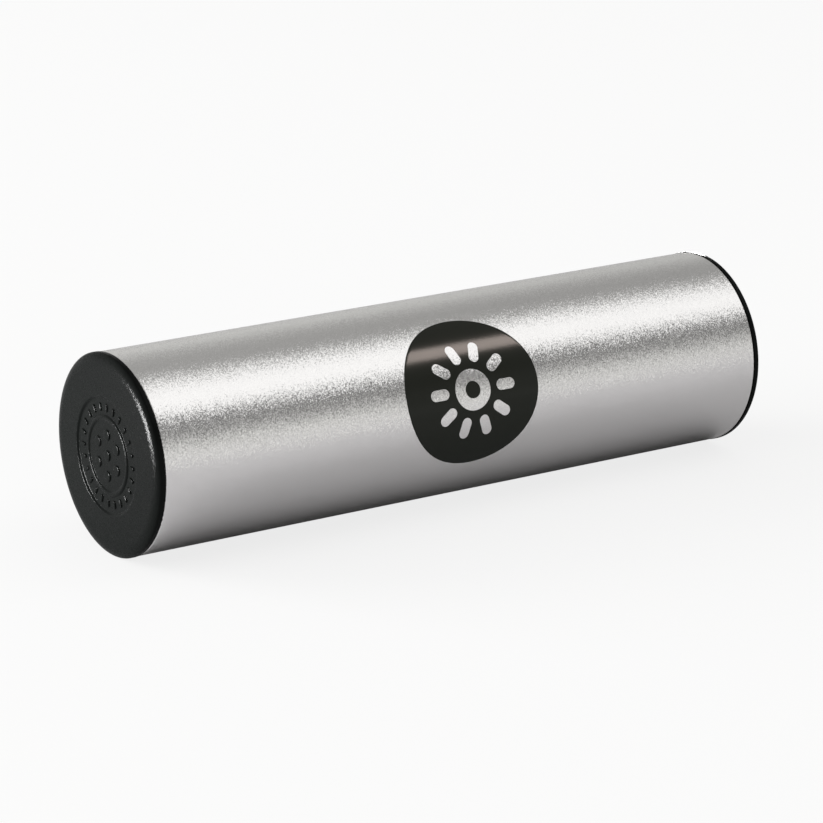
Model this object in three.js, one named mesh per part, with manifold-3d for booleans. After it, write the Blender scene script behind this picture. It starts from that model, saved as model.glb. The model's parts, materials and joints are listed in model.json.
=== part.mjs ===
// A tube shaker: a satin aluminium tube closed at both ends by moulded plastic plugs, with a round label
// on its side and loose steel shot inside. It lies on its side, as it is put down after playing.
//
// Millimetres. X runs along the tube, Z is up, and the origin is on the surface under the tube's middle.

import * as THREE from "three";
import { mergeVertices } from "three/addons/utils/BufferGeometryUtils.js";
import Module from "manifold-3d";

const wasm = await Module();
wasm.setup();

// Aluminium tube
const tubeLength = 211;
const tubeDiameter = 60;
const tubeWall = 1.5;
const tubeEdgeChamfer = 0.3;

// Head of an end plug: the disc that closes the tube, with a soft shoulder round its face. Its rim
// stands a little proud of the tube.
const headProud = 0.15;
const headThickness = 2.55;
const headBackChamfer = 0.2;
const shoulderWidth = 3.6;
const shoulderHeight = 1.5;
const shoulderSteps = 6;

// Round recess in the head's face, with a raised ornament of a ring, bars and studs on its floor
const recessDiameter = 35;
const recessDepth = 0.6;
const recessWallLean = 0.5;
const ornamentRelief = 0.4;
const ringDiameter = 22.5;
const ringWidth = 1.8;
const barCount = 24;
const barLength = 2.4;
const barWidth = 1.1;
const barCircleDiameter = 28.6;
const studCount = 6;
const studDiameter = 3.2;
const studCircleDiameter = 12.4;
const studSides = 12;

// Skirt of an end plug, which is pushed into the tube and held by crush ribs
const skirtLength = 14;
const skirtWall = 1.8;
const skirtClearance = 0.5;
const skirtLeadIn = 0.8;
const headUndercutWidth = 1.2;
const crushRibCount = 12;
const crushRibWidth = 1.2;
const crushRibClearance = 0.15;
const crushRibEnd = 2.5;

// Round label wrapped on the side of the tube
const labelDiameter = 46.8;
const labelThickness = 0.2;
const labelClearance = 0.08;
const labelAngle = 71.2;
const labelRings = 8;
const labelSectors = 48;

// Steel shot, lying in the bottom of the bore: a single ball in front and rows of balls behind it
const shotDiameter = 5;
const shotRows = 7;
const shotPerRow = 7;
const shotClearance = 0.3;

// Smoothness of everything that is turned about the tube's axis. A flat of the ring of sides lies
// straight below the axis, so the plugs' heads rest on flats.
const sides = 96;

// Clearance between a plug's head and the end of the tube
const seatClearance = 0.1;

const flatFactor = Math.cos(Math.PI / sides);
const tubeRadius = tubeDiameter / 2;
const boreRadius = tubeRadius - tubeWall;
const headRadius = tubeRadius + headProud;
const axisHeight = headRadius * flatFactor;

const aluminium = new THREE.MeshStandardMaterial({ color: 0xc9c7c4, roughness: 0.35, metalness: 1 });
const blackPlastic = new THREE.MeshStandardMaterial({ color: 0x232526, roughness: 0.5, metalness: 0 });
const labelFilm = new THREE.MeshStandardMaterial({ color: 0x1b1d1c, roughness: 0.15, metalness: 0 });
const steel = new THREE.MeshStandardMaterial({ color: 0xb4b6b8, roughness: 0.25, metalness: 1 });

// A closed outline of [radius, x] points turned about the X axis.
function turned(outline, segments = sides) {
  const points = [...outline, outline[0]].map(([radius, x]) => new THREE.Vector2(radius, x));
  return new THREE.LatheGeometry(points, segments, Math.PI / segments).rotateZ(-Math.PI / 2);
}

function solid(geometry) {
  const bare = geometry.clone();
  bare.deleteAttribute("normal");
  bare.deleteAttribute("uv");
  const merged = mergeVertices(bare, 1e-3);
  const vertProperties = merged.attributes.position.array;
  const triVerts = new Uint32Array(merged.index.array);
  return new wasm.Manifold(new wasm.Mesh({ numProp: 3, vertProperties, triVerts }));
}

function geometryOf(manifold) {
  const mesh = manifold.getMesh();
  const geometry = new THREE.BufferGeometry();
  geometry.setAttribute("position", new THREE.BufferAttribute(mesh.vertProperties, 3));
  geometry.setIndex(new THREE.BufferAttribute(mesh.triVerts, 1));
  return geometry;
}

function joined(solids) {
  return solids.reduce((whole, piece) => whole.add(piece));
}

// The tube, with both edges of each end broken by a small chamfer.
function tubeGeometry() {
  const half = tubeLength / 2;
  const c = tubeEdgeChamfer;
  return turned([
    [boreRadius + c, -half],
    [tubeRadius - c, -half],
    [tubeRadius, -half + c],
    [tubeRadius, half - c],
    [tubeRadius - c, half],
    [boreRadius + c, half],
    [boreRadius, half - c],
    [boreRadius, -half + c],
  ]);
}

// A plug's own frame has the seat on the tube's end at x = 0, the face towards -x and the skirt towards +x.
const skirtOuter = boreRadius - skirtClearance;
const skirtInner = skirtOuter - skirtWall;
const recessRadius = recessDiameter / 2;
const recessFloor = -headThickness + recessDepth;

// The shoulder, a quarter of an ellipse from the face to the rim.
function shoulderPoints() {
  return Array.from({ length: shoulderSteps + 1 }, (_, i) => {
    const turn = (i / shoulderSteps) * (Math.PI / 2);
    return [
      headRadius - shoulderWidth * (1 - Math.sin(turn)),
      -headThickness + shoulderHeight * (1 - Math.cos(turn)),
    ];
  });
}

function plugBody() {
  return solid(
    turned([
      [0, 0],
      [0, recessFloor],
      [recessRadius - recessWallLean, recessFloor],
      [recessRadius, -headThickness],
      ...shoulderPoints(),
      [headRadius, -headBackChamfer],
      [headRadius - headBackChamfer, 0],
      [skirtOuter, 0],
      [skirtOuter, skirtLength - skirtLeadIn],
      [skirtOuter - skirtLeadIn, skirtLength],
      [skirtInner, skirtLength],
      [skirtInner, headUndercutWidth],
      [skirtInner - headUndercutWidth, 0],
    ]),
  );
}

// Raised ornament on the recess floor, rooted a little below it.
function ornament() {
  const root = recessFloor + ornamentRelief;
  const top = recessFloor - ornamentRelief;
  const ring = solid(
    turned([
      [ringDiameter / 2 - ringWidth / 2, root],
      [ringDiameter / 2 - ringWidth / 2, top],
      [ringDiameter / 2 + ringWidth / 2, top],
      [ringDiameter / 2 + ringWidth / 2, root],
    ]),
  );
  const middle = (root + top) / 2;
  const bars = Array.from({ length: barCount }, (_, i) => {
    const bar = new THREE.BoxGeometry(root - top, barWidth, barLength);
    bar.translate(middle, 0, barCircleDiameter / 2);
    return solid(bar.rotateX((i / barCount) * 2 * Math.PI));
  });
  const studs = Array.from({ length: studCount + 1 }, (_, i) => {
    const stud = new THREE.CylinderGeometry(studDiameter / 2, studDiameter / 2, root - top, studSides);
    stud.rotateZ(Math.PI / 2);
    stud.translate(middle, 0, i < studCount ? studCircleDiameter / 2 : 0);
    return solid(stud.rotateX((i / studCount) * 2 * Math.PI));
  });
  return [ring, ...bars, ...studs];
}

// Crush ribs on the skirt, which bear on the bore when the plug is pushed in.
function crushRibs() {
  const crest = boreRadius * flatFactor - crushRibClearance;
  const root = skirtInner + skirtWall / 2;
  const start = headBackChamfer;
  const end = skirtLength - crushRibEnd;
  return Array.from({ length: crushRibCount }, (_, i) => {
    const rib = new THREE.BoxGeometry(end - start, crushRibWidth, crest - root);
    rib.translate((start + end) / 2, 0, (crest + root) / 2);
    return solid(rib.rotateX(((i + 0.5) / crushRibCount) * 2 * Math.PI));
  });
}

function plugGeometry() {
  return geometryOf(joined([plugBody(), ...ornament(), ...crushRibs()]));
}

// A point of the label: polar on the flat film, then wrapped on the tube at the given radius. The film's
// middle is labelAngle degrees from the top of the tube, towards -Y.
function wrapped(share, sector, radius) {
  const around = (sector / labelSectors) * 2 * Math.PI;
  const along = share * (labelDiameter / 2) * Math.cos(around);
  const across = share * (labelDiameter / 2) * Math.sin(around);
  const angle = THREE.MathUtils.degToRad(labelAngle) - across / radius;
  return [along, -radius * Math.sin(angle), radius * Math.cos(angle)];
}

// The label is two round skins, one outside the other, joined at their edge.
function labelGeometry() {
  const inner = tubeRadius + labelClearance;
  const position = [];
  for (const radius of [inner, inner + labelThickness]) {
    position.push(...wrapped(0, 0, radius));
    for (let ring = 1; ring <= labelRings; ring++)
      for (let sector = 0; sector < labelSectors; sector++)
        position.push(...wrapped(ring / labelRings, sector, radius));
  }
  const skin = 1 + labelRings * labelSectors;
  const at = (layer, ring, sector) =>
    layer * skin + (ring === 0 ? 0 : 1 + (ring - 1) * labelSectors + (sector % labelSectors));
  const index = [];
  for (let sector = 0; sector < labelSectors; sector++) {
    for (let ring = 0; ring < labelRings; ring++)
      for (const layer of [0, 1]) {
        const a = at(layer, ring, sector);
        const b = at(layer, ring + 1, sector);
        const c = at(layer, ring + 1, sector + 1);
        const d = at(layer, ring, sector + 1);
        const faces = ring === 0 ? [[a, b, c]] : [[a, b, c], [a, c, d]];
        for (const [p, q, r] of faces) index.push(...(layer === 1 ? [p, q, r] : [p, r, q]));
      }
    const a = at(0, labelRings, sector);
    const b = at(0, labelRings, sector + 1);
    const c = at(1, labelRings, sector + 1);
    const d = at(1, labelRings, sector);
    index.push(a, b, c, a, c, d);
  }
  const geometry = new THREE.BufferGeometry();
  geometry.setAttribute("position", new THREE.BufferAttribute(new Float32Array(position), 3));
  geometry.setIndex(index);
  return geometry;
}

function named(name, geometry, material) {
  const mesh = new THREE.Mesh(geometry, material);
  mesh.name = name;
  return mesh;
}

const shaker = new THREE.Group();
shaker.position.z = axisHeight;

shaker.add(named("tube", tubeGeometry(), aluminium));
shaker.add(named("label", labelGeometry(), labelFilm));

const plug = plugGeometry();
const leftPlug = named("left_end_plug", plug, blackPlastic);
leftPlug.position.x = -tubeLength / 2 - seatClearance;
shaker.add(leftPlug);

const rightPlug = named("right_end_plug", plug, blackPlastic);
rightPlug.position.x = tubeLength / 2 + seatClearance;
rightPlug.rotation.z = Math.PI;
shaker.add(rightPlug);

// The shot rests on the bore, one ball beside the next. Every other row is shifted by half a ball.
const shotPitch = shotDiameter + shotClearance;
const shotCircleRadius = boreRadius * flatFactor - shotClearance - shotDiameter / 2;
const shotStep = 2 * Math.asin(shotPitch / 2 / shotCircleRadius);
const ball = new THREE.IcosahedronGeometry(shotDiameter / 2, 1);

function addShot(name, station, angle) {
  const shot = named(name, ball, steel);
  shot.position.set(
    (station - shotRows / 2) * shotPitch,
    shotCircleRadius * Math.sin(angle),
    -shotCircleRadius * Math.cos(angle),
  );
  shaker.add(shot);
}

addShot("shot_lead_ball", 0, 0);
for (let row = 1; row <= shotRows; row++) {
  const shift = row % 2 ? 0.25 : -0.25;
  for (let n = 1; n <= shotPerRow; n++)
    addShot(`shot_row_${row}_ball_${n}`, row, (n - (shotPerRow + 1) / 2 + shift) * shotStep);
}

export default shaker;
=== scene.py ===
"""Looks of a tube shaker: a bead-blasted aluminium tube, two moulded plugs, a film label and steel shot.

Metres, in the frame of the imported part: X runs along the tube and Z is up.
"""

import json
import math

import bmesh
import bpy
import numpy as np
from mathutils import Matrix, Vector


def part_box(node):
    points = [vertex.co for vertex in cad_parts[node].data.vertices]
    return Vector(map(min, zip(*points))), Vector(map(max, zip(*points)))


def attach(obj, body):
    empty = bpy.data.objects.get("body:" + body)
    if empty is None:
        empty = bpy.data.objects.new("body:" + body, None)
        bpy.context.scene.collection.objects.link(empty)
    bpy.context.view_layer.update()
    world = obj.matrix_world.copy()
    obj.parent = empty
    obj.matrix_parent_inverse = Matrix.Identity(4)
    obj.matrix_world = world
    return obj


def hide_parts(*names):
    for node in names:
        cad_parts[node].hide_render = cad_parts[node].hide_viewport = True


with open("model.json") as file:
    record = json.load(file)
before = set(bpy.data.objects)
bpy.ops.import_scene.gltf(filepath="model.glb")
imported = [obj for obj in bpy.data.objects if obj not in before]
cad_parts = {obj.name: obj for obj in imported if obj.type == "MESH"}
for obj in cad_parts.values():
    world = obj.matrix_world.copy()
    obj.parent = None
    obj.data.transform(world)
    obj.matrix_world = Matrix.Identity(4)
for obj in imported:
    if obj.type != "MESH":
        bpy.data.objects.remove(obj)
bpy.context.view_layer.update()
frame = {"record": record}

MM = 0.001

# Tube, from the frame
tube_low, tube_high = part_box("tube")
TUBE_HALF = tube_high.x
TUBE_RADIUS = (tube_high.z - tube_low.z) / 2
AXIS_HEIGHT = (tube_high.z + tube_low.z) / 2
TUBE_WALL = 1.5 * MM
TUBE_CHAMFER = 0.3 * MM
TUBE_FILLET = 0.06 * MM
TUBE_STEPS = 256

# End plug, in its own frame: x = 0 is its seat on the tube, and its face looks towards -x
plug_low, plug_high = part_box("left_end_plug")
SEAT_CLEARANCE = 0.1 * MM
SEAT = TUBE_HALF + SEAT_CLEARANCE
HEAD_THICKNESS = -SEAT - plug_low.x
HEAD_RADIUS = (plug_high.z - plug_low.z) / 2
HEAD_BACK_FILLET = 0.2 * MM
SHOULDER_WIDTH = 3.6 * MM
SHOULDER_HEIGHT = 1.5 * MM
SHOULDER_STEPS = 16
RECESS_RADIUS = 17.5 * MM
RECESS_DEPTH = 0.6 * MM
RECESS_WALL_LEAN = 0.5 * MM
ORNAMENT_RELIEF = 0.4 * MM
ORNAMENT_ROOT = 0.15 * MM
RING_RADIUS = 11.25 * MM
RING_WIDTH = 1.8 * MM
BAR_COUNT = 24
BAR_LENGTH = 2.4 * MM
BAR_WIDTH = 1.1 * MM
BAR_CIRCLE_RADIUS = 14.3 * MM
STUD_COUNT = 6
STUD_RADIUS = 1.6 * MM
STUD_CIRCLE_RADIUS = 6.2 * MM
MOULD_FILLET = 0.18 * MM
RELIEF_SLOPE = 0.45 * MM
RELIEF_FILLET = 0.9 * MM
RECESS_FILLET = 0.75 * MM
SKIRT_LENGTH = plug_high.x + SEAT
SKIRT_CLEARANCE = 0.5 * MM
SKIRT_RADIUS = TUBE_RADIUS - TUBE_WALL - SKIRT_CLEARANCE
SKIRT_WALL = 1.8 * MM
SKIRT_LEAD_IN = 0.8 * MM
HEAD_UNDERCUT = 1.2 * MM
RIB_COUNT = 12
RIB_WIDTH = 1.2 * MM
RIB_END = 2.5 * MM
RIB_CLEARANCE = 0.15 * MM
PLUG_STEPS = 192
PAD_STEPS = 32

# Label: a round film wrapped on the tube, its middle LABEL_ANGLE from the tube's top towards -Y
LABEL_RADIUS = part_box("label")[1].x
LABEL_ANGLE = math.radians(71.2)
LABEL_LIFT = 0.03 * MM
LABEL_THICKNESS = 0.14 * MM
LABEL_EDGE = 0.12 * MM
LABEL_RINGS = 28
LABEL_STEPS = 224

# Sun motif of the label, a thin inlay of metal: a ring with rays round it
MOTIF_PROUD = 0.03 * MM
MOTIF_ROOT = 0.05 * MM
MOTIF_EDGE = 0.05 * MM
MOTIF_RING = (2.6 * MM, 6.2 * MM)
MOTIF_RAYS = 10
MOTIF_RAY = (8.5 * MM, 14.9 * MM)
MOTIF_RAY_WIDTH = 3.3 * MM
MOTIF_RING_STEPS = 96
MOTIF_RAY_STEPS = 32
MOTIF_TOP_STEPS = 6

# Shot: a ball is BALL_STEPS half circles from pole to pole
BALL_STEPS = 24
BALL_ARC_STEPS = 14

# Outlines keep their flats flat by points this far from each rounded corner
SUPPORT = 0.12 * MM
ARC_STEPS = 5

# Points nearer than this are one
MERGE_DISTANCE = 0.0001 * MM


def centre(x):
    """The point of the tube's axis at x."""
    return np.array([x, 0, AXIS_HEIGHT])


def directions(angle):
    """The unit vectors away from the axis and round it, at an angle from the top towards -Y."""
    ray = np.array([0, -math.sin(angle), math.cos(angle)])
    around = np.array([0, -math.cos(angle), -math.sin(angle)])
    return ray, around


def arc(middle, size, start, end, steps):
    """Points of an ellipse's arc: middle + size * (cos t, sin t), with t from start to end."""
    t = np.linspace(start, end, steps + 1)
    return np.stack([middle[0] + size[0] * np.cos(t), middle[1] + size[1] * np.sin(t)], axis=1)


def rounded(corners, closed=False):
    """An outline through corners of [x, radius, fillet]. A fillet is an arc that touches both sides."""
    corners = np.array(corners, float)
    count = len(corners)
    points = []
    for i, (x, radius, fillet) in enumerate(corners):
        here = np.array([x, radius])
        inside = closed or 0 < i < count - 1
        if not inside or fillet == 0:
            points.append(here[None])
            continue
        back = corners[i - 1, :2] - here
        ahead = corners[(i + 1) % count, :2] - here
        back = back / np.linalg.norm(back)
        ahead = ahead / np.linalg.norm(ahead)
        half = math.acos(np.clip(back @ ahead, -1, 1)) / 2
        between = (back + ahead) / np.linalg.norm(back + ahead)
        middle = here + between * fillet / math.sin(half)
        first = here + back * fillet / math.tan(half) - middle
        last = here + ahead * fillet / math.tan(half) - middle
        turn = math.pi - 2 * half
        t = np.linspace(0, 1, ARC_STEPS + 1)[:, None]
        bow = (np.sin((1 - t) * turn) * first + np.sin(t * turn) * last) / math.sin(turn)
        points.append(middle + bow)
    return supported(np.concatenate(points), closed)


def supported(points, closed):
    """The same outline, with a point near both ends of each side that is long enough."""
    starts = points if closed else points[:-1]
    ends = np.roll(points, -1, axis=0)[: len(starts)]
    length = np.linalg.norm(ends - starts, axis=1, keepdims=True)
    step = (ends - starts) * SUPPORT / np.maximum(length, SUPPORT)
    long_enough = length[:, 0] > 4 * SUPPORT
    keep = np.stack([np.ones_like(long_enough), long_enough, long_enough], axis=1)
    made = np.stack([starts, starts + step, ends - step], axis=1)[keep]
    return made if closed else np.concatenate([made, points[-1:]])


def turned(outline, steps):
    """A grid of the outline's [x, radius] points turned about the tube's axis."""
    angle = np.linspace(0, 2 * np.pi, steps, endpoint=False)
    x = np.repeat(outline[:, :1], steps, axis=1)
    y = -outline[:, 1:] * np.sin(angle)
    z = AXIS_HEIGHT + outline[:, 1:] * np.cos(angle)
    return np.stack([x, y, z], axis=2)


def shell(grid, closed_rows=False):
    """A closed skin of quads over a grid that wraps along its columns, with its faces turned outwards."""
    rows, columns = grid.shape[:2]
    index = np.arange(rows * columns).reshape(rows, columns)
    below = index if closed_rows else index[:-1]
    above = np.roll(index, -1, axis=0)
    above = above if closed_rows else above[:-1]
    quads = np.stack([below, above, np.roll(above, -1, axis=1), np.roll(below, -1, axis=1)], axis=2)
    quads = quads.reshape(-1, 4)
    vertices = grid.reshape(-1, 3)
    a, b, c, d = (vertices[quads[:, i]] - vertices.mean(axis=0) for i in range(4))
    volume = np.einsum("ij,ij->", a, np.cross(b, c) + np.cross(c, d))
    return vertices, quads if volume > 0 else quads[:, ::-1]


def pad(half_length, half_width, height, depth):
    """A grid of a pad with round ends, in its own [along, across, up].

    Its outline is a stadium, which shrinks from the root to the top: up through the foot, which flares by
    MOULD_FILLET, over an edge that is rounded over RELIEF_SLOPE, and across the top to the middle line.
    """
    flare = (MOULD_FILLET, MOULD_FILLET)
    foot = arc(flare, flare, -np.pi / 2, -np.pi, ARC_STEPS)
    edge = (RELIEF_SLOPE, MOULD_FILLET)
    crest = arc((-RELIEF_SLOPE, height - MOULD_FILLET), edge, 0, np.pi / 2, 2 * ARC_STEPS)
    section = np.concatenate([
        [[-half_width, -depth], [MOULD_FILLET, -depth]],
        foot,
        crest,
        [[-(RELIEF_SLOPE + half_width) / 2, height], [-half_width, height]],
    ])
    angle = np.linspace(0, 2 * np.pi, PAD_STEPS, endpoint=False) + np.pi / PAD_STEPS
    reach = half_width + section[:, :1]
    along = half_length * np.sign(np.cos(angle)) + reach * np.cos(angle)
    across = reach * np.sin(angle)
    up = np.repeat(section[:, 1:], len(angle), axis=1)
    return np.stack([along, across, up], axis=2)


def placed(grid, origin, along, across, up):
    """A grid in its own [along, across, up] set at origin, with those three axes, in the part's frame."""
    return np.array(origin) + grid @ np.array([along, across, up])


def piece(name, shells, finish, body, replaced):
    """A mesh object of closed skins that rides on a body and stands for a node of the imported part."""
    vertices = np.concatenate([skin[0] for skin in shells])
    offsets = np.cumsum([0] + [len(skin[0]) for skin in shells[:-1]])
    quads = np.concatenate([skin[1] + offset for skin, offset in zip(shells, offsets)])
    mesh = bpy.data.meshes.new(name)
    mesh.from_pydata(vertices.tolist(), [], quads.tolist())
    merge_doubles(mesh)
    mesh.polygons.foreach_set("use_smooth", np.ones(len(mesh.polygons), bool))
    mesh.materials.append(finish)
    made = bpy.data.objects.new(name, mesh)
    bpy.context.scene.collection.objects.link(made)
    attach(made, body)
    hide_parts(replaced)
    return made


def merge_doubles(mesh):
    """Closes the poles, where a whole row of a grid lies in one point."""
    work = bmesh.new()
    work.from_mesh(mesh)
    bmesh.ops.remove_doubles(work, verts=work.verts, dist=MERGE_DISTANCE)
    work.to_mesh(mesh)
    work.free()


class Value:
    """A number socket. An expression on it adds Math nodes to its finish."""

    def __init__(self, finish, socket):
        self.finish = finish
        self.socket = socket

    def __add__(self, other):
        return self.finish.math("ADD", self, other)

    def __sub__(self, other):
        return self.finish.math("SUBTRACT", self, other)

    def __rsub__(self, other):
        return self.finish.math("SUBTRACT", other, self)

    def __mul__(self, other):
        return self.finish.math("MULTIPLY", self, other)

    __radd__ = __add__
    __rmul__ = __mul__


class Finish:
    """A node tree that is built node by node."""

    def __init__(self, tree):
        self.tree = tree
        self.tree.nodes.clear()

    def node(self, kind, settings=None, **inputs):
        """Adds a node with its settings, then gives its sockets values or links.

        A socket goes by its name, with underscores for spaces, or by its number, as in i0.
        """
        made = self.tree.nodes.new("ShaderNode" + kind)
        for key, setting in (settings or {}).items():
            if key == "stops":
                self.set_stops(made.color_ramp, setting)
            else:
                setattr(made, key, setting)
        for key, given in inputs.items():
            by_number = key[1:].isdigit()
            socket = made.inputs[int(key[1:]) if by_number else key.replace("_", " ")]
            if isinstance(given, Value):
                self.tree.links.new(given.socket, socket)
            else:
                socket.default_value = given
        return made

    def set_stops(self, ramp, stops):
        while len(ramp.elements) < len(stops):
            ramp.elements.new(1)
        for element, (position, colour) in zip(ramp.elements, stops):
            element.position = position
            element.color = colour

    def get(self, kind, settings=None, output=0, **inputs):
        """The output of a new node."""
        return Value(self, self.node(kind, settings, **inputs).outputs[output])

    def math(self, operation, *values):
        numbered = {f"i{i}": value for i, value in enumerate(values)}
        return self.get("Math", {"operation": operation}, **numbered)

    def vector(self, operation, *values):
        """A Vector Math node. A number stands for a vector of three alike."""
        vectors = [(value,) * 3 if isinstance(value, float) else value for value in values]
        numbered = {f"i{i}": value for i, value in enumerate(vectors)}
        return self.get("VectorMath", {"operation": operation}, **numbered)

    def mix_colour(self, factor, first, second):
        """A mix of two colours, whose sockets on the Mix node are i6 and i7."""
        return self.get("Mix", {"data_type": "RGBA"}, output=2, i0=factor, i6=first, i7=second)

    def surface(self, shader):
        output = self.tree.nodes.new("ShaderNodeOutputMaterial")
        self.tree.links.new(shader.outputs[0], output.inputs["Surface"])


def new_finish(name):
    material = bpy.data.materials.new(name)
    material.use_nodes = True
    return material, Finish(material.node_tree)


def mottle(f, scale, detail):
    """Soft noise from 0 to 1 on the piece's own coordinates, by cells per metre and levels of detail."""
    place = f.get("TexCoord", output="Object")
    return f.get("TexNoise", Vector=place, Scale=scale, Detail=detail)


def facets(f, size, lean):
    """The normal of a surface of small cells: the piece's own plus a random vector for each cell."""
    place = f.get("TexCoord", output="Object")
    cell = f.get("TexVoronoi", output="Color", Vector=place, Scale=1 / size)
    offset = f.vector("SUBTRACT", cell, (0.5, 0.5, 0.5))
    offset = f.vector("MULTIPLY", offset, lean)
    own = f.get("NewGeometry", output="Normal")
    return f.vector("NORMALIZE", f.vector("ADD", own, offset))


# Bead-blasted metal: tiny facets side by side, each leaning its own way
ALUMINIUM = (0.86, 0.849, 0.846, 1)
ALUMINIUM_FACET_SIZE = 0.23 * MM
ALUMINIUM_FACET_LEAN = 0.212
ALUMINIUM_ROUGHNESS = 0.235
ALUMINIUM_CLOUD = (60.0, 3.0)
ALUMINIUM_CLOUD_DEPTH = 0.02


def blasted_aluminium():
    material, f = new_finish("blasted_aluminium")
    cloud = mottle(f, *ALUMINIUM_CLOUD)
    f.surface(f.node(
        "BsdfPrincipled",
        Base_Color=ALUMINIUM,
        Metallic=1.0,
        Roughness=ALUMINIUM_ROUGHNESS + (cloud - 0.5) * ALUMINIUM_CLOUD_DEPTH,
        Normal=facets(f, ALUMINIUM_FACET_SIZE, ALUMINIUM_FACET_LEAN),
    ))
    return material


# Black plastic from an eroded mould, which leaves facets too, with little gloss
PLASTIC = (0.0066, 0.0075, 0.0071, 1)
PLASTIC_FACET_SIZE = 0.3 * MM
PLASTIC_FACET_LEAN = 0.13
PLASTIC_ROUGHNESS = 0.2
PLASTIC_WEAR = (90.0, 4.0)
PLASTIC_WEAR_DEPTH = 0.01
PLASTIC_GLOSS = 0.034


def moulded_plastic():
    material, f = new_finish("moulded_plastic")
    wear = mottle(f, *PLASTIC_WEAR)
    f.surface(f.node(
        "BsdfPrincipled",
        Base_Color=PLASTIC,
        Roughness=PLASTIC_ROUGHNESS + (wear - 0.5) * PLASTIC_WEAR_DEPTH,
        Specular_IOR_Level=PLASTIC_GLOSS,
        Normal=facets(f, PLASTIC_FACET_SIZE, PLASTIC_FACET_LEAN),
    ))
    return material


# Gloss film, a little rubbed by the hand
FILM_BLACK = (0.0205, 0.023, 0.0195, 1)
FILM_RUBBED = (0.0215, 0.024, 0.0205, 1)
FILM_ROUGHNESS = 0.17
FILM_RUB = (70.0, 5.0)
FILM_RUB_DEPTH = 0.03
FILM_GLOSS = 0.1


def black_film():
    material, f = new_finish("black_film")
    rub = mottle(f, *FILM_RUB)
    f.surface(f.node(
        "BsdfPrincipled",
        Base_Color=f.mix_colour(rub, FILM_BLACK, FILM_RUBBED),
        Roughness=FILM_ROUGHNESS + (rub - 0.5) * FILM_RUB_DEPTH,
        Specular_IOR_Level=FILM_GLOSS,
    ))
    return material


# Steel of the balls, which rub each other a little dull
STEEL = (0.62, 0.63, 0.65, 1)
STEEL_ROUGHNESS = 0.16
STEEL_RUB = (1500.0, 3.0)
STEEL_RUB_DEPTH = 0.12
STEEL_BUMP = 0.004 * MM


def bright_steel():
    material, f = new_finish("bright_steel")
    rub = mottle(f, *STEEL_RUB)
    f.surface(f.node(
        "BsdfPrincipled",
        Base_Color=STEEL,
        Metallic=1.0,
        Roughness=STEEL_ROUGHNESS + rub * STEEL_RUB_DEPTH,
        Normal=f.get("Bump", Height=rub, Distance=STEEL_BUMP),
    ))
    return material


def tube_skin():
    """The tube's wall, turned: an outline with a small chamfer at each of its four edges."""
    inner = TUBE_RADIUS - TUBE_WALL
    c = TUBE_CHAMFER
    corners = [
        [-TUBE_HALF, inner + c, TUBE_FILLET],
        [-TUBE_HALF, TUBE_RADIUS - c, TUBE_FILLET],
        [-TUBE_HALF + c, TUBE_RADIUS, TUBE_FILLET],
        [TUBE_HALF - c, TUBE_RADIUS, TUBE_FILLET],
        [TUBE_HALF, TUBE_RADIUS - c, TUBE_FILLET],
        [TUBE_HALF, inner + c, TUBE_FILLET],
        [TUBE_HALF - c, inner, TUBE_FILLET],
        [-TUBE_HALF + c, inner, TUBE_FILLET],
    ]
    return shell(turned(rounded(corners, closed=True), TUBE_STEPS), closed_rows=True)


def plug_outline():
    """Half of the plug's section, from the middle of its face over the rim to the middle of its inside."""
    face = -HEAD_THICKNESS
    floor = face + RECESS_DEPTH
    ring_low = RING_RADIUS - RING_WIDTH / 2
    ring_high = RING_RADIUS + RING_WIDTH / 2
    ring_top = floor - ORNAMENT_RELIEF
    shoulder_middle = (face + SHOULDER_HEIGHT, HEAD_RADIUS - SHOULDER_WIDTH)
    shoulder = arc(shoulder_middle, (SHOULDER_HEIGHT, SHOULDER_WIDTH), np.pi, np.pi / 2, SHOULDER_STEPS)
    skirt_inner = SKIRT_RADIUS - SKIRT_WALL
    m = MOULD_FILLET
    front = [
        [floor, 0, 0],
        [floor, ring_low, m],
        [ring_top, ring_low + RELIEF_SLOPE, RELIEF_FILLET],
        [ring_top, ring_high - RELIEF_SLOPE, RELIEF_FILLET],
        [floor, ring_high, m],
        [floor, RECESS_RADIUS - RECESS_WALL_LEAN, RECESS_FILLET],
        [face, RECESS_RADIUS, RECESS_FILLET],
    ]
    back = [
        [0, HEAD_RADIUS, HEAD_BACK_FILLET],
        [0, SKIRT_RADIUS, m],
        [SKIRT_LENGTH - SKIRT_LEAD_IN, SKIRT_RADIUS, m],
        [SKIRT_LENGTH, SKIRT_RADIUS - SKIRT_LEAD_IN, m],
        [SKIRT_LENGTH, skirt_inner, m],
        [HEAD_UNDERCUT, skirt_inner, m],
        [0, skirt_inner - HEAD_UNDERCUT, m],
        [0, 0, 0],
    ]
    arched = [[x, radius, 0] for x, radius in shoulder]
    return rounded(front + arched + back)


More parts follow.
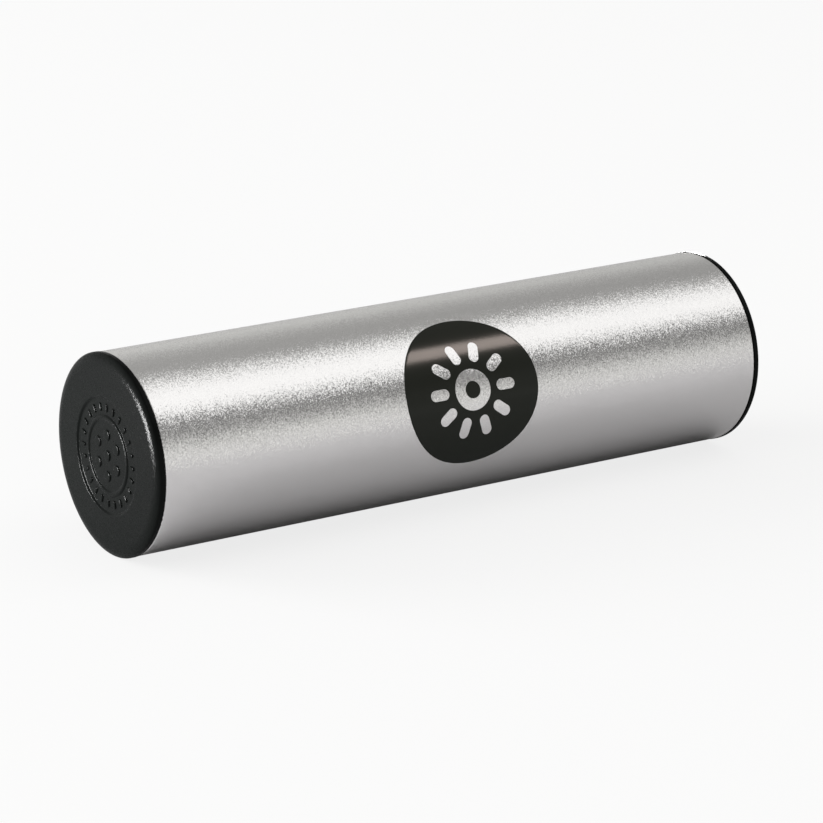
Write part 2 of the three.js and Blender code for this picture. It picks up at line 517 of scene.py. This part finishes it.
def plug_skins(side):
    """One plug: its turned body, the bars and studs of its ornament and its crush ribs. side is -1 or 1."""
    floor = -HEAD_THICKNESS + RECESS_DEPTH
    grids = [turned(plug_outline(), PLUG_STEPS)]
    bar = pad((BAR_LENGTH - BAR_WIDTH) / 2, BAR_WIDTH / 2, ORNAMENT_RELIEF, ORNAMENT_ROOT)
    stud = pad(0, STUD_RADIUS, ORNAMENT_RELIEF, ORNAMENT_ROOT)
    rib_start = HEAD_BACK_FILLET
    rib_length = SKIRT_LENGTH - RIB_END - rib_start
    rib_height = max(TUBE_RADIUS - TUBE_WALL - RIB_CLEARANCE - SKIRT_RADIUS, 2 * MOULD_FILLET)
    rib = pad((rib_length - RIB_WIDTH) / 2, RIB_WIDTH / 2, rib_height, SKIRT_WALL / 2)
    outwards = np.array([-1.0, 0, 0])
    for number in range(BAR_COUNT):
        ray, around = directions(2 * np.pi * number / BAR_COUNT)
        grids.append(placed(bar, centre(floor) + BAR_CIRCLE_RADIUS * ray, ray, around, outwards))
    for number in range(STUD_COUNT):
        ray, around = directions(2 * np.pi * number / STUD_COUNT)
        grids.append(placed(stud, centre(floor) + STUD_CIRCLE_RADIUS * ray, ray, around, outwards))
    grids.append(placed(stud, centre(floor), *directions(0), outwards))
    for number in range(RIB_COUNT):
        ray, around = directions(2 * np.pi * (number + 0.5) / RIB_COUNT)
        foot = centre(rib_start + rib_length / 2) + SKIRT_RADIUS * ray
        grids.append(placed(rib, foot, [1, 0, 0], around, ray))
    for grid in grids:
        grid[..., 0] = -side * (grid[..., 0] - SEAT)
    return [shell(grid) for grid in grids]


def on_film(along, across, height):
    """Points of the flat label, at a height over its underside, rolled on the tube."""
    radius = TUBE_RADIUS + LABEL_LIFT + height
    angle = LABEL_ANGLE - across / TUBE_RADIUS
    place = [along, -radius * np.sin(angle), AXIS_HEIGHT + radius * np.cos(angle)]
    return np.stack(np.broadcast_arrays(*place), axis=2)


def label_skin():
    """The film, polar when flat, as [radius, turn], then rolled on the tube. Its edge is rounded over."""
    flat = np.linspace(0, LABEL_RADIUS - LABEL_EDGE, LABEL_RINGS)
    edge = arc((LABEL_RADIUS - LABEL_EDGE, 0), (LABEL_EDGE, LABEL_THICKNESS), np.pi / 2, 0, ARC_STEPS)
    top = np.stack([flat, np.full(LABEL_RINGS, LABEL_THICKNESS)], axis=1)
    under = np.stack([flat[::-1], np.zeros(LABEL_RINGS)], axis=1)
    section = np.concatenate([top, edge[1:], under])
    turn = np.linspace(0, 2 * np.pi, LABEL_STEPS, endpoint=False)
    return shell(on_film(section[:, :1] * np.cos(turn), section[:, :1] * np.sin(turn), section[:, 1:]))


def inlay_section(low, high, edge):
    """A flat strip's closed section as [place, height]: over its top, then back under it."""
    top = np.concatenate([[low], np.linspace(low + edge, high - edge, MOTIF_TOP_STEPS + 1), [high]])
    height = np.repeat([LABEL_THICKNESS + MOTIF_PROUD, LABEL_THICKNESS - MOTIF_ROOT], len(top))
    return np.concatenate([top, top[::-1]]), height


def motif_skins():
    """The motif's ring, turned on the flat label, and its rays, whose width is carried along each ray.

    At a distance s from the ray's middle its half width is the circle's sqrt(r^2 - b^2), where b is how
    far s lies beyond the straight part, so both ends are round.
    """
    reach, height = inlay_section(*MOTIF_RING, MOTIF_EDGE)
    turn = np.linspace(0, 2 * np.pi, MOTIF_RING_STEPS, endpoint=False)
    ring = on_film(reach[:, None] * np.cos(turn), reach[:, None] * np.sin(turn), height[:, None])
    skins = [shell(ring, closed_rows=True)]
    start, end = MOTIF_RAY
    half = MOTIF_RAY_WIDTH / 2
    share, height = inlay_section(-1, 1, MOTIF_EDGE / half)
    from_middle = -(end - start) / 2 * np.cos(np.linspace(0, np.pi, MOTIF_RAY_STEPS))
    beyond = np.maximum(np.abs(from_middle) - (end - start) / 2 + half, 0)
    width = np.sqrt(np.maximum(half**2 - beyond**2, 0))[:, None]
    along = (start + end) / 2 + from_middle[:, None]
    for angle in np.linspace(0, 2 * np.pi, MOTIF_RAYS, endpoint=False):
        u = along * np.cos(angle) - width * share * np.sin(angle)
        v = along * np.sin(angle) + width * share * np.cos(angle)
        skins.append(shell(on_film(u, v, height)))
    return skins


def ball_skin(node):
    """A ball in the place of its node: half circles from pole to pole."""
    low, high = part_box(node)
    middle = (low + high) / 2
    radius = (high.z - low.z) / 2
    half = arc((0, 0), (radius, radius), np.pi, 0, BALL_ARC_STEPS)
    turn = np.linspace(0, 2 * np.pi, BALL_STEPS, endpoint=False)
    x = np.repeat(half[:, :1], BALL_STEPS, axis=1)
    y = half[:, 1:] * np.sin(turn)
    z = half[:, 1:] * np.cos(turn)
    return shell(np.array(middle) + np.stack([x, y, z], axis=2))


# Camera, solved from the tube's outline, its ends and the label in the photograph
CAMERA_FROM_MIDDLE = (-0.58544, -0.87405, 0.31786)
CAMERA_YAW = math.radians(56.313)
CAMERA_PITCH = math.radians(-17.034)
CAMERA_ROLL = math.radians(0.331)
LENS = 158.76
SENSOR = 36.0


def make_camera():
    """A camera that looks CAMERA_YAW from +X towards +Y and CAMERA_PITCH up, rolled about that line."""
    data = bpy.data.cameras.new("camera")
    data.lens = LENS
    data.sensor_width = SENSOR
    camera = bpy.data.objects.new("camera", data)
    bpy.context.scene.collection.objects.link(camera)
    place = Matrix.Translation(Vector(centre(0) + CAMERA_FROM_MIDDLE))
    yaw = Matrix.Rotation(CAMERA_YAW - math.pi / 2, 4, "Z")
    pitch = Matrix.Rotation(CAMERA_PITCH + math.pi / 2, 4, "X")
    roll = Matrix.Rotation(CAMERA_ROLL, 4, "Z")
    camera.matrix_world = place @ yaw @ pitch @ roll
    bpy.context.scene.camera = camera


# Softboxes. A place is a turn from straight up towards -Y and a lean towards +X, in degrees, and the
# distance from the tube's middle. Only the plugs' softboxes, small panels that their shoulders mirror,
# have places and aims as points.
LONG_PLACE = (20.0, 43.6, 2.07)
LONG_SIZE = (2.75, 1.34)
LONG_RADIANCE = 0.7
FILM_PLACE = (22.5, 33.0, 1.79)
FILM_SIZE = (0.4, 0.363)
FILM_RADIANCE = 31.5
FLOOR_SIZE = (2.0, 2.0)
FLOOR_SOFTBOXES = {
    "floor_side_softbox": ((0.0, -72.0, 3.2), 4.2),
    "floor_back_softbox": ((-65.0, -45.0, 3.2), 7.2),
}
SHOULDER_PLACES = {
    "left_plug": (-0.264, 0.0965, 0.0165),
    "right_plug": (0.208, 0.162, 0.091),
}
SHOULDER_AIMS = {
    "left_plug": (-0.107, -0.0215, 0.048),
    "right_plug": (0.107, 0.012, 0.045),
}
SHOULDER_SIZE = (0.056, 0.032)
SHOULDER_RADIANCE = 143.0
WHITE = (1.0, 1.0, 1.0)
WARM = (1.0, 0.855, 0.78)


def studio_place(turn, lean, distance):
    """The place at a distance from the tube's middle, by its turn and lean."""
    ray, _ = directions(math.radians(turn))
    lean = math.radians(lean)
    return centre(distance * math.sin(lean)) + distance * math.cos(lean) * ray


def make_softbox(name, place, aim, size, radiance, colour):
    """A softbox at a place, facing aim, with its width level."""
    back = Vector(place - aim).normalized()
    level = Vector((0, 0, 1)).cross(back).normalized()
    data = bpy.data.lights.new(name, "AREA")
    data.shape = "RECTANGLE"
    data.size, data.size_y = size
    data.color = colour
    data.energy = radiance * math.pi * size[0] * size[1]
    softbox = bpy.data.objects.new(name, data)
    bpy.context.scene.collection.objects.link(softbox)
    facing = Matrix((level, back.cross(level), back)).transposed().to_4x4()
    softbox.matrix_world = Matrix.Translation(Vector(place)) @ facing
    softbox.visible_camera = False
    return softbox


def link_light(softbox, state, lit):
    """With the state INCLUDE the softbox lights only the lit piece, and with EXCLUDE all but that piece."""
    receivers = bpy.data.collections.new(softbox.name + "_receivers")
    receivers.objects.link(lit)
    receivers.collection_objects[0].light_linking.link_state = state
    softbox.light_linking.receiver_collection = receivers


def make_softboxes(film, plugs, floor):
    """The long softbox lights all but the film. The film, each plug and the floor have their own."""
    place = studio_place(*LONG_PLACE)
    softbox = make_softbox("long_softbox", place, centre(place[0]), LONG_SIZE, LONG_RADIANCE, WHITE)
    link_light(softbox, "EXCLUDE", film)
    place = studio_place(*FILM_PLACE)
    softbox = make_softbox("film_softbox", place, centre(place[0]), FILM_SIZE, FILM_RADIANCE, WARM)
    link_light(softbox, "INCLUDE", film)
    for plug in plugs:
        name = plug.name + "_softbox"
        place = np.array(SHOULDER_PLACES[plug.name])
        aim = np.array(SHOULDER_AIMS[plug.name])
        softbox = make_softbox(name, place, aim, SHOULDER_SIZE, SHOULDER_RADIANCE, WHITE)
        link_light(softbox, "INCLUDE", plug)
    for name, (where, radiance) in FLOOR_SOFTBOXES.items():
        softbox = make_softbox(name, studio_place(*where), centre(0), FLOOR_SIZE, radiance, WHITE)
        link_light(softbox, "INCLUDE", floor)


# Floor: the colour that lights the shaker from below, and the darker one that the camera sees under the
# glow. Mirror rays see a small share of the glow.
FLOOR_HALF = 12.0
FLOOR_COLOUR = (0.7, 0.692, 0.706, 1)
FLOOR_SHADE = (0.17, 0.17, 0.17, 1)
FLOOR_GLOW = 0.81
FLOOR_MIRRORED_SHARE = 0.01


def make_floor():
    """A pale floor. The camera sees it as an even glow, with some of its own light and shade on top."""
    material, f = new_finish("pale_floor")
    paths = f.node("LightPath")
    seen = Value(f, paths.outputs["Is Camera Ray"])
    mirrored = Value(f, paths.outputs["Is Glossy Ray"]) + Value(f, paths.outputs["Is Transmission Ray"])
    strength = f.math("MINIMUM", seen + mirrored * FLOOR_MIRRORED_SHARE, 1.0) * FLOOR_GLOW
    matt = f.get("BsdfDiffuse", Color=f.mix_colour(seen, FLOOR_COLOUR, FLOOR_SHADE))
    glow = f.get("Emission", Color=(1, 1, 1, 1), Strength=strength)
    f.surface(f.node("AddShader", i0=matt, i1=glow))
    h = FLOOR_HALF
    mesh = bpy.data.meshes.new("floor")
    mesh.from_pydata([(-h, -h, 0), (h, -h, 0), (h, h, 0), (-h, h, 0)], [], [(0, 1, 2, 3)])
    mesh.materials.append(material)
    floor = bpy.data.objects.new("floor", mesh)
    bpy.context.scene.collection.objects.link(floor)
    return floor


# Brightness of the studio by the angle round the tube's line, in degrees from straight up towards -Y,
# and the tint of all of it
STUDIO = [
    (-95, 0.43), (-85, 0.56), (-75, 0.63), (-65, 0.57), (-55, 0.47), (-45, 0.39), (-35, 0.34), (5, 0.36),
    (15, 0.42), (25, 0.45), (35, 0.45), (45, 0.16), (55, 0.05), (62, 0.33), (69, 0.54), (76, 0.55),
    (83, 0.81), (92, 1.2),
]
STUDIO_TINT = (1.0, 1.0, 0.972)

# Strength of the studio: it falls from a level with the x of the direction's unit vector, between limits
STUDIO_LEVEL = 1.58
STUDIO_FALL = 1.1
STUDIO_LEAST = 0.85
STUDIO_MOST = 1.1


def make_world():
    """A studio of long walls: its light changes round the tube's line and falls a little towards +X."""
    world = bpy.data.worlds.new("studio")
    bpy.context.scene.world = world
    world.use_nodes = True
    f = Finish(world.node_tree)
    direction = f.node("SeparateXYZ", Vector=f.get("TexCoord", output="Generated"))
    along = Value(f, direction.outputs[0])
    back = Value(f, direction.outputs[1])
    up = Value(f, direction.outputs[2])
    turn = f.math("ARCTAN2", back * -1, up) * (0.5 / math.pi) + 0.5
    stops = [(angle / 360 + 0.5, (*(grey * tint for tint in STUDIO_TINT), 1)) for angle, grey in STUDIO]
    colour = f.get("ValToRGB", {"stops": stops}, Fac=turn)
    strength = f.math("MAXIMUM", STUDIO_LEVEL - along * STUDIO_FALL, STUDIO_LEAST)
    strength = f.math("MINIMUM", strength, STUDIO_MOST)
    light = f.node("Background", Color=colour, Strength=strength)
    output = f.tree.nodes.new("ShaderNodeOutputWorld")
    f.tree.links.new(light.outputs[0], output.inputs["Surface"])


bpy.context.scene.view_settings.view_transform = "Standard"
bpy.context.scene.cycles.caustics_reflective = False

make_camera()
floor = make_floor()
make_world()

plastic = moulded_plastic()
steel = bright_steel()
metal = blasted_aluminium()
piece("tube_wall", [tube_skin()], metal, "shell", "tube")
plugs = [
    piece("left_plug", plug_skins(-1), plastic, "shell", "left_end_plug"),
    piece("right_plug", plug_skins(1), plastic, "shell", "right_end_plug"),
]
film = piece("film_label", [label_skin()], black_film(), "shell", "label")
piece("film_motif", motif_skins(), metal, "shell", "label")
make_softboxes(film, plugs, floor)
for body, nodes in frame["record"]["behaviour"]["bodies"].items():
    for node in nodes:
        if node.startswith("shot"):
            piece(node.replace("shot", "steel"), [ball_skin(node)], steel, body, node)

bpy.context.view_layer.update()
